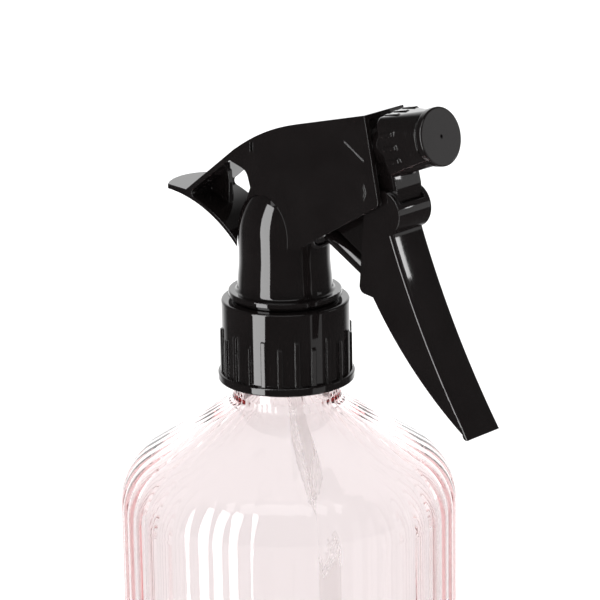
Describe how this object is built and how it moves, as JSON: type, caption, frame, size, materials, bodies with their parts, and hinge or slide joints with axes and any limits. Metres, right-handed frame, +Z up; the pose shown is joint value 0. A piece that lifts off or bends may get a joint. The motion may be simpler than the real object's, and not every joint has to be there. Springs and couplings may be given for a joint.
{
  "type": "hand mister",
  "caption": "Reeded pink glass bottle with a screw-on trigger sprayer whose trigger, pump, valves, swivelling head and screw nozzle all move.",
  "frame": {"origin": "centre of the bottle's flat base", "axes": "+Z up the bottle's axis, +X the way the nozzle points, so +Y is to the left of the spray"},
  "size_m": [0.1041, 0.0828, 0.203],
  "materials": {
    "pink_glass": "clear tinted",
    "black_plastic": "gloss",
    "inner_plastic": "satin",
    "tube_plastic": "satin translucent",
    "seal_rubber": "matte",
    "steel": "bright"
  },
  "bodies": {
    "bottle": {"bottle": "pink_glass"},
    "gasket": {"gasket": "seal_rubber"},
    "closure": {"closure": "black_plastic"},
    "head": {"sprayer_body": "black_plastic", "shroud": "black_plastic", "retainer": "inner_plastic", "dip_tube": "tube_plastic", "nozzle_base": "black_plastic", "spinner": "inner_plastic", "piston_spring": "steel", "outlet_spring": "steel"},
    "trigger": {"trigger": "black_plastic"},
    "piston": {"piston_rod": "black_plastic", "piston_seal": "seal_rubber", "vent_seal": "seal_rubber"},
    "inlet_ball": {"inlet_ball": "steel"},
    "outlet_valve": {"outlet_valve": "inner_plastic"},
    "nozzle_seal": {"nozzle_seal": "seal_rubber"},
    "nozzle_cap": {"nozzle_cap": "black_plastic"}
  },
  "joints": [
    {"name": "head_rise", "type": "slide", "parent": "bottle", "child": "gasket", "axis": [0, 0, 1], "range_m": [0, 0.00634]},
    {"name": "closure_turn", "type": "hinge", "parent": "gasket", "child": "closure", "pos_m": [0, 0, 0.138], "axis": [0, 0, 1], "range_deg": [0, 540]},
    {"name": "head_swivel", "type": "hinge", "parent": "gasket", "child": "head", "pos_m": [0, 0, 0.148], "axis": [0, 0, 1], "continuous": true},
    {"name": "trigger_pull", "type": "hinge", "parent": "head", "child": "trigger", "pos_m": [0.0363, 0, 0.1768], "axis": [0, 1, 0], "range_deg": [0, 22], "stiffness_Nm_per_rad": 0.13, "springref_deg": -25.21},
    {"name": "piston_slide", "type": "slide", "parent": "head", "child": "piston", "axis": [-0.866, 0, 0.5], "range_m": [0, 0.0075], "deforming": ["piston_spring"]},
    {"name": "inlet_lift", "type": "slide", "parent": "head", "child": "inlet_ball", "axis": [0, 0, 1], "range_m": [0, 0.00125]},
    {"name": "outlet_lift", "type": "slide", "parent": "head", "child": "outlet_valve", "axis": [0.9681, 0, 0.2504], "range_m": [0, 0.0008], "stiffness_N_per_m": 120, "springref_m": -0.002, "deforming": ["outlet_spring"]},
    {"name": "nozzle_advance", "type": "slide", "parent": "head", "child": "nozzle_seal", "axis": [0.9681, 0, 0.2504], "range_m": [0, 0.00187]},
    {"name": "nozzle_turn", "type": "hinge", "parent": "nozzle_seal", "child": "nozzle_cap", "pos_m": [0.0497, 0, 0.1963], "axis": [0.9681, 0, 0.2504], "range_deg": [0, 270]}
  ],
  "couplings": [
    {"joint": "closure_turn", "follows": "head_rise", "rad_per_m": 1485.4},
    {"joint": "piston_slide", "follows": "trigger_pull", "m_per_rad": 0.0194},
    {"joint": "nozzle_turn", "follows": "nozzle_advance", "rad_per_m": 2513.3}
  ]
}
